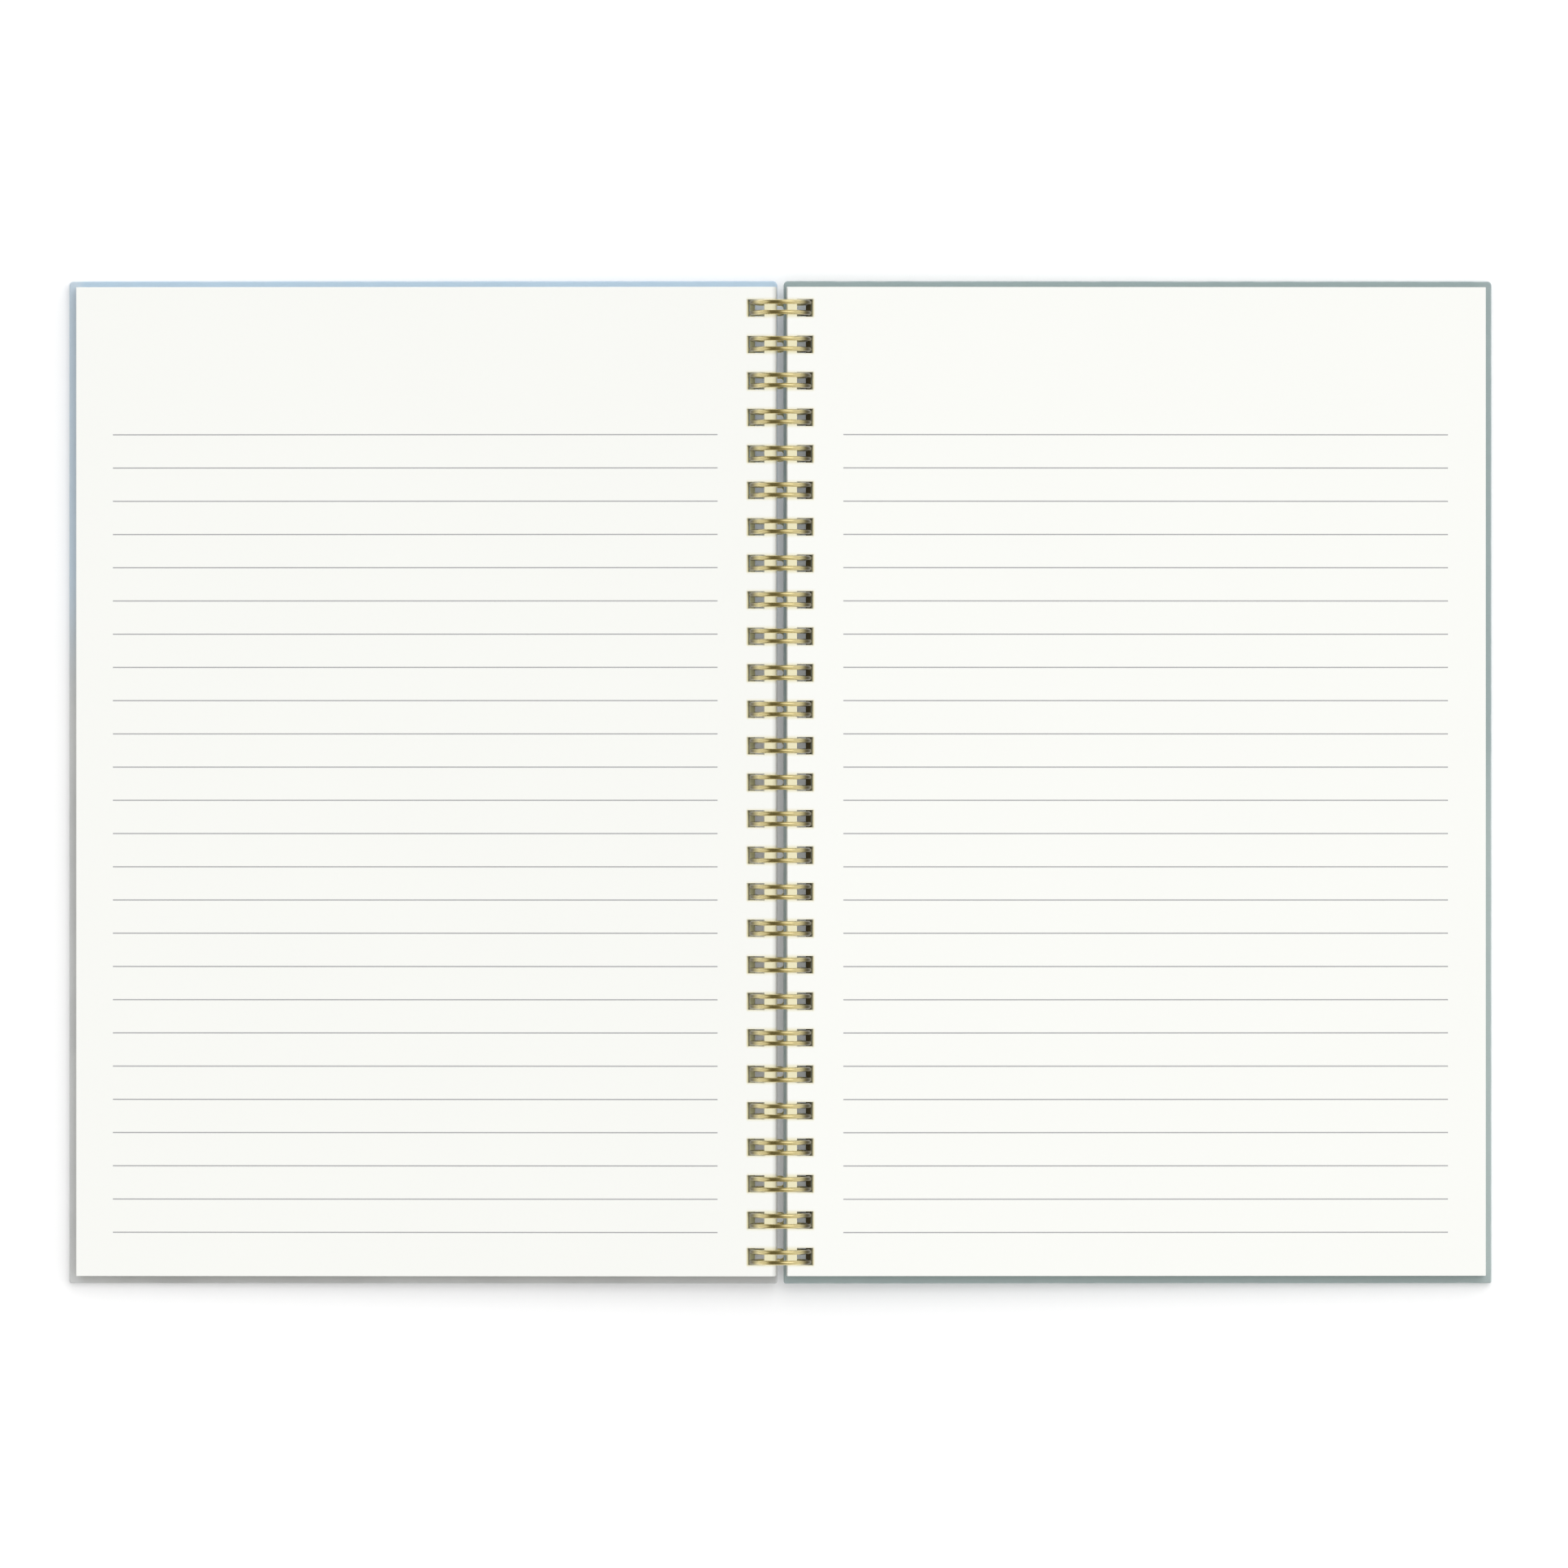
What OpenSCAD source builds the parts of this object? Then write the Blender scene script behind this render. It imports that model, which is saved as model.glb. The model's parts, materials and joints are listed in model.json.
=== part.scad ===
// A hardcover planner held by one twin-loop wire, lying open and flat.
// X runs across both halves, Y towards the head of the page and Z up from the table.
// The rings share one axis along Y, and each half turns about that axis.

/* [Cover boards] */
// Width of one board, from spine edge to fore edge
cover_w = 164.5; // [100:0.5:220]
// Height of one board, from tail to head
cover_h = 232.8; // [120:0.1:320]
// Thickness of one board with its wrap
cover_t = 2; // [1:0.1:4]
// Radius of the boards' corners
corner_r = 1; // [0.5:0.1:6]
// Gap between the spine edges of the two boards
spine_gap = 1.6; // [0.8:0.1:3]

/* [Leaves] */
// Thickness of the leaves that lie on one board
leaves_t = 2.6; // [0.5:0.1:6]
// How far a board reaches past its leaves at head, tail and fore edge
overhang = 1.5; // [0.5:0.1:6]
// How far the leaves stop short of the board's spine edge
spine_step = 0.4; // [0:0.1:1]
// Gap between the two sets of leaves when the planner is shut
shut_gap = 0.3; // [0.2:0.05:1]

/* [Wire] */
// Thickness of the wire
wire_d = 1; // [0.7:0.05:1.3]
// Distance between the two wires of one ring, centre to centre
pair_w = 2.4; // [2:0.1:3.2]
// Distance from one ring to the next
ring_pitch = 8.467; // [7.5:0.001:12.7]
// Clear height between a board's outside and the inside of the rings
ring_room = 1.5; // [1.2:0.1:4]
// Radius of the bends that lead from a ring into the links beside it
bend_r = 1; // [0.6:0.1:1.2]
// Least gap at the seam between a ring's closed tip and its links
seam_gap = 0.2; // [0.1:0.05:0.8]

/* [Punched holes] */
// Clearance between the wire and each edge of its hole
hole_play = 0.3; // [0.15:0.05:0.5]
// Least paper left between the end holes and the head or tail
hole_margin = 2; // [1:0.5:10]

/* [Hidden] */
$fn = 48;

// Places along the row of rings are kept to this step
row_step = 0.001;
// Sweep of a ring's wire before it is cut off at the seam
ring_sweep = 345;

cover_blue = [0.68, 0.75, 0.82];
cover_green = [0.60, 0.67, 0.65];
page_white = [0.97, 0.97, 0.95];
wire_gold = [0.80, 0.68, 0.38];

// Heights below the ring axis, seen in a half that lies level
leaf_top = shut_gap / 2;
board_top = leaf_top + leaves_t;
board_low = board_top + cover_t;

// The rings: inner edge, centre line and outer edge of the wire
ring_in = board_low + ring_room;
ring_r = ring_in + wire_d / 2;
ring_out = ring_in + wire_d;

// The holes clear the wire from the board's outside up to the face of the leaves
hole_in = sqrt(pow(ring_in, 2) - pow(board_low, 2)) - hole_play;
hole_out = ring_out + hole_play;
hole_h = pair_w + wire_d + 2 * hole_play;

board_x = spine_gap / 2;
leaf_x = board_x + spine_step;
leaf_w = cover_w - spine_step - overhang;
leaf_h = cover_h - 2 * overhang;
pitch = on_step(ring_pitch);
rings = floor((leaf_h - hole_h - 2 * hole_margin) / pitch) + 1;
first_y = -on_step((rings - 1) / 2 * pitch);

// Each half sinks by this angle until its fore edge lies on the table with the rings
fore_x = board_x + cover_w;
sink = asin(ring_out / norm([fore_x, board_low])) - atan2(board_low, fore_x);

// At the seam the tips close at the foot of the rings, and the links run beside them.
// The seam's direction, right and down from the ring axis, is an exact unit vector,
// so that the cut ends of the rings meet the bends exactly. The steepest that fits is taken.
tip_reach = pair_w / 2 + wire_d / 2;
link_reach = tip_reach + seam_gap + wire_d / 2;
seam_dirs = [[0.352, 0.936], [0.5376, 0.8432], [0.6, 0.8], [0.8, 0.6], [0.8432, 0.5376]];
seam_dir = [for (d = seam_dirs) if (ring_r * d.x - bend_r * d.y >= link_reach) d][0];
seam_angle = atan2(seam_dir.y, seam_dir.x);
link_from = pair_w / 2 + bend_r;
link_l = pitch - 2 * link_from;
// The tool that cuts the seam is a whole number of millimetres long and clears the ring
seam_cut = 2 * ceil(ring_out);

// Height of a cut that passes right through a half
cut_extra = 1;

function on_step(v) = round(v / row_step) * row_step;
function ring_y(i) = first_y + i * pitch;

// Sets a half that was drawn level, to the right of the ring axis, in its place
module place_half(side) {
    translate([0, 0, ring_out])
    rotate([0, side * sink, 0])
    mirror([side < 0 ? 1 : 0, 0, 0])
    children();
}

// The rectangular holes that are punched through one half
module punched_holes() {
    for (i = [0 : rings - 1])
        translate([hole_in, ring_y(i) - hole_h / 2, -board_low - cut_extra])
        cube([hole_out - hole_in, hole_h, board_low - leaf_top + 2 * cut_extra]);
}

// Outline of a board, with its four corners rounded
module board_outline() {
    difference() {
        translate([board_x, -cover_h / 2])
        square([cover_w, cover_h]);
        for (x = [0, 1], y = [0, 1])
            translate([board_x + x * cover_w, (y - 0.5) * cover_h])
            mirror([x, 0])
            mirror([0, y])
            difference() {
                translate([-corner_r, -corner_r])
                square(2 * corner_r);
                translate([corner_r, corner_r])
                circle(r = corner_r);
            }
    }
}

module board() {
    difference() {
        translate([0, 0, -board_low])
        linear_extrude(cover_t)
        board_outline();
        punched_holes();
    }
}

module leaves() {
    difference() {
        translate([leaf_x, -leaf_h / 2, -board_top])
        cube([leaf_w, leaf_h, leaves_t]);
        punched_holes();
    }
}

// A bend of wire in the XY plane that turns from angle a to angle b
module bend(r, a, b) {
    rotate([0, 0, a])
    rotate_extrude(angle = b - a)
    translate([r, 0])
    circle(d = wire_d);
}

// One wire of a ring: from the foot clockwise over the top, cut off at the seam
module ring_wire() {
    rotate([90, 0, 0])
    difference() {
        mirror([1, 0, 0])
        bend(ring_r, -90, ring_sweep - 90);
        linear_extrude(2 * wire_d, center = true)
        polygon(seam_cut * [[0, 0], [0, -1], [seam_dir.x, -1], [seam_dir.x, -seam_dir.y]]);
    }
}

// One ring: a pair of wires, joined at the foot by the tip
module ring() {
    for (side = [-1, 1])
        translate([0, side * pair_w / 2, 0])
        ring_wire();
    translate([0, 0, -ring_r])
    bend(pair_w / 2, -90, 90);
}

// The bend from one wire of a ring into the link on its head side
module link_bend() {
    translate([ring_r, link_from, 0])
    rotate([90, 0, 90])
    bend(bend_r, 180, 270);
}

// The link from one ring to the next, with the bend at each end
module ring_link() {
    rotate([0, seam_angle, 0]) {
        link_bend();
        translate([0, pitch, 0])
        mirror([0, 1, 0])
        link_bend();
        translate([ring_r, link_from, -bend_r])
        rotate([-90, 0, 0])
        cylinder(h = link_l, d = wire_d);
    }
}

module front_cover() {
    color(cover_blue)
    place_half(-1)
    board();
}

module back_cover() {
    color(cover_green)
    place_half(1)
    board();
}

module left_pages() {
    color(page_white)
    place_half(-1)
    leaves();
}

module right_pages() {
    color(page_white)
    place_half(1)
    leaves();
}

// One continuous wire: every ring, and the link between each ring and the next
module twin_loop_wire() {
    color(wire_gold)
    translate([0, 0, ring_out])
    union() {
        for (i = [0 : rings - 1])
            translate([0, ring_y(i), 0])
            ring();
        for (i = [0 : rings - 2])
            translate([0, ring_y(i), 0])
            ring_link();
    }
}

front_cover();
back_cover();
left_pages();
right_pages();
twin_loop_wire();
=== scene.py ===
import json
import math

import bmesh
import bpy
from mathutils import Matrix, Vector


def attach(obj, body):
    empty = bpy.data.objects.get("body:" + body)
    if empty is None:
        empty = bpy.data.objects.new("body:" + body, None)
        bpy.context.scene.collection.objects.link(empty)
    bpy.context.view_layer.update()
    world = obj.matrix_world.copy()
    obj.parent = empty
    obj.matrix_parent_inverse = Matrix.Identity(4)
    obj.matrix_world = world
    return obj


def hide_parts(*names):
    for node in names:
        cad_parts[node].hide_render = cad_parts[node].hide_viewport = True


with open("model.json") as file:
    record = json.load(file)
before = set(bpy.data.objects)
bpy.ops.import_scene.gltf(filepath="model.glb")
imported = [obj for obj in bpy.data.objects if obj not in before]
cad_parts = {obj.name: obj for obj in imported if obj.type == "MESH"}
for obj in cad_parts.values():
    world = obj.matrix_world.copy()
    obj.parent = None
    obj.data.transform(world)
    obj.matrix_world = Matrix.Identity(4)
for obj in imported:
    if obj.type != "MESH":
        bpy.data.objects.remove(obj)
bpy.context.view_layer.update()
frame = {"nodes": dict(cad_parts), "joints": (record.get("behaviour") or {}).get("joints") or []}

bl_info = {
    "name": "Wire-bound planner",
    "version": (1, 0, 0),
    "blender": (4, 5, 0),
    "location": "3D View > Sidebar > Planner",
    "description": "Dresses the packed planner with boards, leaves, ruling, rings and a stage",
    "category": "Object",
}

MM = 0.001
TINY = 0.001 * MM
IMAGE_SIDE_PX = 1932

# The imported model: where the ring axis lies, and how far each half sinks from level
FRONT_HINGE = next(j for j in frame["joints"] if j["child"] == "front_half")
RING_AXIS = Vector(FRONT_HINGE["pos_m"])
SINK = math.radians(FRONT_HINGE["range_deg"][1] - 180) / 2
LEFT, RIGHT = -1, 1
BODY = {LEFT: "front_half", RIGHT: "back_half"}

# Places of the materials in a board's list (the second of them a strip of painted shade), and the
# slope at which a face counts as a wall
CORE, PAINTED_SHADE = 1, 2
WALL_Z = 0.7

WHITE = (1, 1, 1, 1)
LIGHT_FROM = Vector((0.62, 0.78, 1.1))
SENSOR_MM = 36
FLOOR_SIDE = 8.0


def half_place(side):
    """Matrix that tips a half, drawn level about the ring axis, into its place."""
    return Matrix.Translation(RING_AXIS) @ Matrix.Rotation(side * SINK, 4, "Y")


def level_lines(node, side):
    """The X, Y and Z values of a node's corners, with its half level and turned to the right."""
    back = half_place(side).inverted()
    corners = [back @ v.co for v in frame["nodes"][node].data.vertices]
    found = []
    for axis in range(3):
        sign = side if axis == 0 else 1
        found.append(sorted({round(sign * c[axis], 6) for c in corners}))
    return found


LEAF_XS, LEAF_YS, LEAF_ZS = level_lines("right_pages", RIGHT)
BOARD_XS, BOARD_YS, BOARD_ZS = level_lines("back_cover", RIGHT)
HOLE_X = (LEAF_XS[1], LEAF_XS[-2])
HOLE_YS = LEAF_YS[1:-1]
RING_YS = [(HOLE_YS[i] + HOLE_YS[i + 1]) / 2 for i in range(0, len(HOLE_YS), 2)]

# Bands of painted light on the wrap by the fore edge, of painted shade on the left leaves by the
# spine, and of painted shade on the rings inside the holes
PAINTED_LIGHT_X = (BOARD_XS[-1] - 4 * MM, BOARD_XS[-1] - 1.5 * MM)
CURL_SHADE_X = (-2.0 * MM, -0.9 * MM)
HOLE_SHADE_X = (RING_AXIS.z * 0.60, RING_AXIS.z * 0.925)
HOLE_SHADE_SHIFT = 0.35 * MM

# Distances from a ring over which the painted warm bounce from its gold on the paper dies away
BOUNCE_X = (HOLE_X[1], HOLE_X[1] + 0.6 * MM)
BOUNCE_Y = (1.5 * MM, 2.7 * MM)


class PlannerCovers(bpy.types.PropertyGroup):
    edge_radius: bpy.props.FloatProperty(
        name="Edge radius",
        description="How round the wrap makes the edges of each board",
        default=0.32 * MM, unit="LENGTH", subtype="DISTANCE")
    head_radius: bpy.props.FloatProperty(
        name="Head radius", description="Radius of the boards' corners at the head",
        default=1.0 * MM, unit="LENGTH", subtype="DISTANCE")
    tail_radius: bpy.props.FloatProperty(
        name="Tail radius", description="Radius of the boards' corners at the tail",
        default=0.45 * MM, unit="LENGTH", subtype="DISTANCE")
    punch_radius: bpy.props.FloatProperty(
        name="Punch radius",
        description="How far the punch presses the edges of the holes in",
        default=0.07 * MM, unit="LENGTH", subtype="DISTANCE")
    hole_play: bpy.props.FloatProperty(
        name="Hole play", description="Room between the rings and the boards' holes",
        default=0.45 * MM, unit="LENGTH", subtype="DISTANCE")
    # Painted shade: a dark strip on the board's inner face by the holes, seen only through them;
    # this is how far it runs past the holes
    painted_shade: bpy.props.FloatProperty(
        name="Painted shade reach", description="How far the lining strip runs on past the holes",
        default=1.5 * MM, unit="LENGTH", subtype="DISTANCE")
    # Painted light and shade: one cut board, coloured lit in the front cover and in shade in the
    # back cover
    front_core_lit: bpy.props.FloatVectorProperty(
        name="Front core", description="Colour of the front board where it is cut",
        default=(0.56, 0.54, 0.34), size=3, subtype="COLOR")
    # Painted shade seen through the front cover's holes
    front_painted_shade: bpy.props.FloatVectorProperty(
        name="Front lining", description="Colour of the lining strip in the front cover",
        default=(0.155, 0.15, 0.085), size=3, subtype="COLOR")
    # Painted shade: the back board's cut walls coloured as if in shade
    back_core_shaded: bpy.props.FloatVectorProperty(
        name="Back core", description="Colour of the back board where it is cut",
        default=(0.11, 0.085, 0.035), size=3, subtype="COLOR")
    # Painted shade seen through the back cover's holes
    back_painted_shade: bpy.props.FloatVectorProperty(
        name="Back lining", description="Colour of the lining strip in the back cover",
        default=(0.09, 0.07, 0.03), size=3, subtype="COLOR")
    front_head: bpy.props.FloatVectorProperty(
        name="Front, head", description="Front cover's colour at the head",
        default=(0.43, 0.56, 0.68), size=3, subtype="COLOR")
    front_tail: bpy.props.FloatVectorProperty(
        name="Front, tail", description="Front cover's colour at the tail",
        default=(0.525, 0.53, 0.52), size=3, subtype="COLOR")
    back_head: bpy.props.FloatVectorProperty(
        name="Back, head", description="Back cover's colour at the head",
        default=(0.29, 0.365, 0.37), size=3, subtype="COLOR")
    back_tail: bpy.props.FloatVectorProperty(
        name="Back, tail", description="Back cover's colour at the tail",
        default=(0.36, 0.435, 0.43), size=3, subtype="COLOR")


class PlannerLeaves(bpy.types.PropertyGroup):
    count: bpy.props.IntProperty(
        name="Leaves", description="Leaves on each side", default=26, min=2)
    slack: bpy.props.FloatProperty(
        name="Slack", description="Share of each leaf's pitch that is air",
        default=0.16, subtype="FACTOR")
    stray: bpy.props.FloatProperty(
        name="Stray", description="How far a leaf may lie out of line",
        default=0.09 * MM, unit="LENGTH", subtype="DISTANCE")
    seed: bpy.props.IntProperty(
        name="Seed", description="Seed of the leaves' stray", default=7)
    left_inset: bpy.props.FloatProperty(
        name="Left inset", description="How far the left leaves lie back from the spine",
        default=0.04 * MM, unit="LENGTH", subtype="DISTANCE")
    right_inset: bpy.props.FloatProperty(
        name="Right inset", description="How far the right leaves lie back from the spine",
        default=0.45 * MM, unit="LENGTH", subtype="DISTANCE")
    left_fan: bpy.props.FloatProperty(
        name="Left fan", description="How far the rings fan the left leaves out, top to bottom",
        default=0.3 * MM, unit="LENGTH", subtype="DISTANCE")
    right_fan: bpy.props.FloatProperty(
        name="Right fan", description="How far the rings fan the right leaves out, top to bottom",
        default=0.12 * MM, unit="LENGTH", subtype="DISTANCE")
    left_fore_inset: bpy.props.FloatProperty(
        name="Left fore inset",
        description="How much the left leaves were trimmed at the fore edge",
        default=0.25 * MM, unit="LENGTH", subtype="DISTANCE")
    right_fore_inset: bpy.props.FloatProperty(
        name="Right fore inset",
        description="How much the right leaves were trimmed at the fore edge",
        default=0.09 * MM, unit="LENGTH", subtype="DISTANCE")
    tail_inset: bpy.props.FloatProperty(
        name="Tail inset", description="How much the leaves were trimmed at the tail",
        default=0.36 * MM, unit="LENGTH", subtype="DISTANCE")
    left_wear: bpy.props.FloatProperty(
        name="Left wear", description="How far the rings wore the left holes outwards",
        default=0.28 * MM, unit="LENGTH", subtype="DISTANCE")
    right_wear: bpy.props.FloatProperty(
        name="Right wear", description="How far the rings wore the right holes outwards",
        default=0.04 * MM, unit="LENGTH", subtype="DISTANCE")
    side_wear: bpy.props.FloatProperty(
        name="Side wear", description="How far the holes wore towards head and tail",
        default=0.08 * MM, unit="LENGTH", subtype="DISTANCE")
    paper: bpy.props.FloatVectorProperty(
        name="Paper", description="Colour of the paper",
        default=(0.945, 0.95, 0.912), size=3, subtype="COLOR")
    rule_count: bpy.props.IntProperty(
        name="Rules", description="Ruled lines on a page", default=25)
    rule_first: bpy.props.FloatProperty(
        name="First rule", description="Height of the first line above the page's middle",
        default=80.66 * MM, unit="LENGTH", subtype="DISTANCE")
    rule_pitch: bpy.props.FloatProperty(
        name="Rule pitch", description="Distance from one line to the next",
        default=7.713 * MM, unit="LENGTH", subtype="DISTANCE")
    rule_from: bpy.props.FloatProperty(
        name="Rule start", description="Distance from the ring axis to the lines' inner ends",
        default=14.6 * MM, unit="LENGTH", subtype="DISTANCE")
    rule_to: bpy.props.FloatProperty(
        name="Rule end", description="Distance from the ring axis to the lines' outer ends",
        default=155.0 * MM, unit="LENGTH", subtype="DISTANCE")
    rule_width: bpy.props.FloatProperty(
        name="Rule width", description="Width of a line",
        default=0.267 * MM, unit="LENGTH", subtype="DISTANCE")
    ink_rise: bpy.props.FloatProperty(
        name="Ink rise", description="How far the ink stands on the paper",
        default=0.012 * MM, unit="LENGTH", subtype="DISTANCE")
    ink: bpy.props.FloatVectorProperty(
        name="Ink", description="Colour of the ruled lines",
        default=(0.42, 0.42, 0.43), size=3, subtype="COLOR")


class PlannerWire(bpy.types.PropertyGroup):
    thickness: bpy.props.FloatProperty(
        name="Thickness", description="Thickness of the wire with its plating",
        default=1.08 * MM, unit="LENGTH", subtype="DISTANCE")
    pair: bpy.props.FloatProperty(
        name="Pair", description="Distance between the two wires of a ring",
        default=2.4 * MM, unit="LENGTH", subtype="DISTANCE")
    bend: bpy.props.FloatProperty(
        name="Bend", description="Radius of the bends into the links",
        default=1.0 * MM, unit="LENGTH", subtype="DISTANCE")
    seam: bpy.props.FloatProperty(
        name="Seam", description="Angle of the seam below level, on the back cover's side",
        default=math.atan2(0.8432, 0.5376), unit="ROTATION", subtype="ANGLE")
    sides: bpy.props.IntProperty(
        name="Sides", description="Faces round the wire", default=12, min=6)
    ring_steps: bpy.props.IntProperty(
        name="Ring steps", description="Stretches of wire in one round of a ring", default=54)
    gold: bpy.props.FloatVectorProperty(
        name="Gold", description="Colour of the wire's plating",
        default=(0.80, 0.70, 0.39), size=3, subtype="COLOR")


class PlannerStage(bpy.types.PropertyGroup):
    px_size: bpy.props.FloatProperty(
        name="Pixel", description="Length on the page that one pixel of the image shows",
        default=0.1885 * MM, unit="LENGTH", subtype="DISTANCE", precision=6)
    centre_px: bpy.props.FloatVectorProperty(
        name="Centre", description="Pixel at which the planner's middle shows",
        default=(961.6, 963.9), size=2)
    lens: bpy.props.FloatProperty(
        name="Lens", description="Focal length in millimetres", default=300.0)
    sun: bpy.props.FloatProperty(
        name="Key light", description="Strength of the soft key light", default=0.35)
    fill: bpy.props.FloatProperty(
        name="Sky", description="Strength of the light all round", default=0.94)
    lean: bpy.props.FloatProperty(
        name="Lean", description="How much brighter the sky is at the upper right than opposite",
        default=0.7, subtype="FACTOR")
    floor_glow: bpy.props.FloatProperty(
        name="Floor glow", description="Light that the backlit floor gives by itself",
        default=0.10)
    floor_colour: bpy.props.FloatVectorProperty(
        name="Floor colour", description="Colour of the floor",
        default=(0.97, 0.97, 0.97), size=3, subtype="COLOR")


GROUPS = {
    "planner_covers": PlannerCovers,
    "planner_leaves": PlannerLeaves,
    "planner_wire": PlannerWire,
    "planner_stage": PlannerStage,
}


# Node helpers

def feed(tree, value, socket):
    """Gives a socket its value: the output of another socket, or a constant."""
    if isinstance(value, bpy.types.NodeSocket):
        tree.links.new(value, socket)
    else:
        socket.default_value = value


def node(tree, kind, x, y, inputs=None, **settings):
    """A new node at a place in the editor; inputs are given by label or by number."""
    made = tree.nodes.new(kind)
    made.location = (x, y)
    for name, value in settings.items():
        setattr(made, name, value)
    for key, value in (inputs or {}).items():
        feed(tree, value, made.inputs[key])
    return made


def calc(tree, x, y, operation, *values):
    """The result of a Math node on sockets and constants."""
    return node(tree, "ShaderNodeMath", x, y, dict(enumerate(values)),
                operation=operation).outputs[0]


def ramp(tree, x, y, value, before=(0, 1), after=(0, 1), smooth=False):
    """A value carried from one range over to another, and kept inside it."""
    ends = {"From Min": before[0], "From Max": before[1],
            "To Min": after[0], "To Max": after[1]}
    return node(tree, "ShaderNodeMapRange", x, y, {"Value": value, **ends},
                interpolation_type="SMOOTHSTEP" if smooth else "LINEAR").outputs["Result"]


def scaled(tree, x, y, vector, factor):
    """A colour or vector times a factor."""
    return node(tree, "ShaderNodeVectorMath", x, y, {0: vector, "Scale": factor},
                operation="SCALE").outputs[0]


def blend(tree, x, y, factor, first, second, kind="MIX"):
    """Two colours put together by a factor."""
    return node(tree, "ShaderNodeMix", x, y, {0: factor, 6: first, 7: second},
                data_type="RGBA", blend_type=kind).outputs[2]


def object_place(tree, x, y):
    return node(tree, "ShaderNodeTexCoord", x, y).outputs["Object"]


def split(tree, x, y, vector):
    return node(tree, "ShaderNodeSeparateXYZ", x, y, {0: vector}).outputs


def noise(tree, x, y, place, scale, **inputs):
    return node(tree, "ShaderNodeTexNoise", x, y,
                {"Vector": place, "Scale": scale, **inputs}).outputs["Fac"]


def new_group(name, kind, inputs, outputs):
    """A group with sockets (label, kind, default): its tree, what it is given, and its end."""
    tree = bpy.data.node_groups.new(name, kind)
    for direction, sockets in (("INPUT", inputs), ("OUTPUT", outputs)):
        for label, socket, default in sockets:
            made = tree.interface.new_socket(
                label, in_out=direction, socket_type="NodeSocket" + socket)
            if default is not None:
                made.default_value = default
    given = node(tree, "NodeGroupInput", -900, 0).outputs
    return tree, given, node(tree, "NodeGroupOutput", 900, 0).inputs


def finished_mesh(name, bm):
    """The mesh of a bmesh, which is freed."""
    mesh = bpy.data.meshes.new(name)
    bm.to_mesh(mesh)
    bm.free()
    return mesh


def plain_mesh(name, source, tree, values):
    """Runs a geometry tree on an object, and puts a plain mesh in the object's place."""
    modifier = source.modifiers.new(tree.name, "NODES")
    modifier.node_group = tree
    for item in tree.interface.items_tree:
        if item.in_out == "INPUT" and item.name in values:
            modifier[item.identifier] = values[item.name]
    depsgraph = bpy.context.evaluated_depsgraph_get()
    mesh = bpy.data.meshes.new_from_object(
        source.evaluated_get(depsgraph), preserve_all_data_layers=True, depsgraph=depsgraph)
    source.modifiers.remove(modifier)
    bpy.data.objects.remove(source)
    mesh.name = name
    return add_object(name, mesh)


def add_object(name, data):
    made = bpy.data.objects.new(name, data)
    bpy.context.scene.collection.objects.link(made)
    return made


def seat_half(mesh, side):
    """Moves a mesh that was drawn level on the right into its place in one of the halves."""
    if side == LEFT:
        mesh.transform(Matrix.Scale(-1, 4, Vector((1, 0, 0))))
        mesh.flip_normals()
    mesh.transform(half_place(side))


def dress(piece, body, slot, *nodes):
    """Says which body a piece rides on and hides the nodes it stands for; the slot is not used."""
    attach(piece, body)
    if nodes:
        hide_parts(*nodes)


# Shader groups and materials

def fibre_group():
    """Paper fibre: a tint that varies a little over the sheet, and a fine height."""
    tree, given, end = new_group(
        "Paper fibre", "ShaderNodeTree",
        [("Colour", "Color", (0.9, 0.9, 0.9, 1)), ("Fleck", "Float", 0.03),
         ("Fibre Size", "Float", 0.0004)],
        [("Colour", "Color", None), ("Height", "Float", None)])
    place = object_place(tree, -900, -300)
    size = calc(tree, -700, -200, "DIVIDE", 1, given["Fibre Size"])
    fine = noise(tree, -450, -300, place, size, Detail=4, Roughness=0.6)
    broad = noise(tree, -450, -600, place, 22, Detail=2)
    both = calc(tree, -200, -400, "ADD", fine, broad)
    centred = calc(tree, -50, -400, "SUBTRACT", both, 1)
    amount = calc(tree, 100, -300, "MULTIPLY_ADD", centred, given["Fleck"], 1)
    feed(tree, scaled(tree, 300, 0, given["Colour"], amount), end["Colour"])
    feed(tree, fine, end["Height"])
    return tree


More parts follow.
